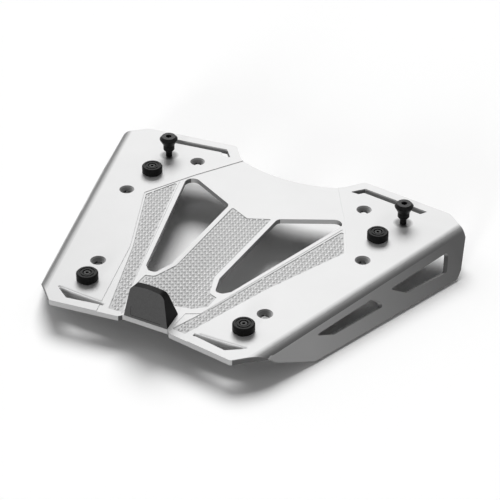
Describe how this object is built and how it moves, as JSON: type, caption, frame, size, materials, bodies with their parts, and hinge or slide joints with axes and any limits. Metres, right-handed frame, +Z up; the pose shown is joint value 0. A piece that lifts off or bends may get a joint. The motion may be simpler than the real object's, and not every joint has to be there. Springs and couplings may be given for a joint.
{
  "type": "top case mounting plate",
  "caption": "Pressed aluminium plate with flared sides, cut-outs, tread fields, rubber rests, locating studs and a rear latch block that carries a motorcycle top case.",
  "frame": {"origin": "below the middle of the deck, at the height of the lowest edge of the sides", "axes": "+X to the rider's right, +Y forward, +Z up and square to the deck"},
  "size_m": [0.3568, 0.2817, 0.0621],
  "materials": {
    "anodised_aluminium": "fine satin, anodised natural",
    "pad_rubber": "moulded, slight sheen",
    "black_steel": "blackened, satin",
    "zinc_steel": "zinc plated",
    "dark_plastic": "moulded, fine grain"
  },
  "bodies": {
    "root": {"plate": "anodised_aluminium", "pad_rear_left": "pad_rubber", "pad_screw_rear_left": "black_steel", "pad_nut_rear_left": "zinc_steel", "pad_rear_right": "pad_rubber", "pad_screw_rear_right": "black_steel", "pad_nut_rear_right": "zinc_steel", "pad_front_left": "pad_rubber", "pad_screw_front_left": "black_steel", "pad_nut_front_left": "zinc_steel", "pad_front_right": "pad_rubber", "pad_screw_front_right": "black_steel", "pad_nut_front_right": "zinc_steel", "stud_left": "black_steel", "stud_washer_left": "zinc_steel", "stud_nut_left": "zinc_steel", "latch_screw_left": "zinc_steel", "latch_washer_left": "zinc_steel", "stud_right": "black_steel", "stud_washer_right": "zinc_steel", "stud_nut_right": "zinc_steel", "latch_screw_right": "zinc_steel", "latch_washer_right": "zinc_steel", "latch_cover": "dark_plastic", "catch_bracket": "zinc_steel"}
  },
  "joints": []
}
